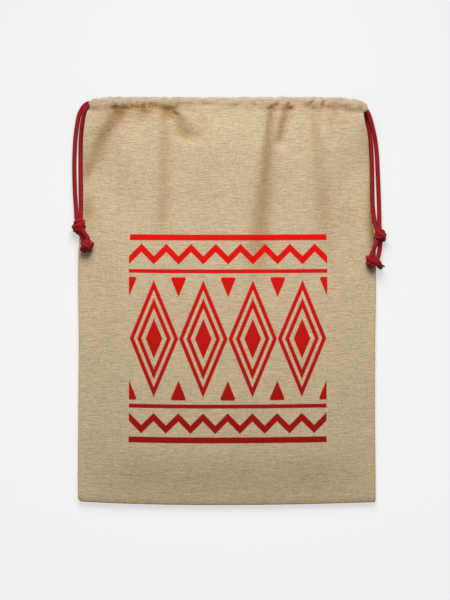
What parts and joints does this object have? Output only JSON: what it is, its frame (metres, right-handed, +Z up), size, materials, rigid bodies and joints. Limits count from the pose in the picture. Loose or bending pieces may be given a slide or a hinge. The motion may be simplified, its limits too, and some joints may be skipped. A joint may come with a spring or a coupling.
{
  "type": "burlap sack",
  "caption": "Empty burlap drawstring sack lying flat, front and back cloth panels with a channelled, gathered mouth and red drawcords knotted beside it.",
  "frame": {"origin": "on the surface that the sack lies on, under the middle of its box without the free cords", "axes": "+Y from the bottom seam towards the mouth, +X to the right of someone who faces the front panel with the mouth up, +Z up out of the front panel"},
  "size_m": [0.3173, 0.4098, 0.0205],
  "materials": {
    "burlap": "matt plain weave of coarse, uneven tan yarn",
    "red_cord": "soft braided red cord, matt"
  },
  "bodies": {
    "root": {"front_panel": "burlap", "back_panel": "burlap", "cord_left_run": "red_cord", "cord_right_run": "red_cord", "cord_left_front": "red_cord", "cord_left_back": "red_cord", "cord_right_front": "red_cord", "cord_right_back": "red_cord", "tail_left_upper": "red_cord", "tail_left_lower": "red_cord", "tail_right_inner": "red_cord", "tail_right_outer": "red_cord", "knot_left": "red_cord", "knot_right": "red_cord", "end_knot_left": "red_cord", "end_knot_right": "red_cord"}
  },
  "joints": []
}
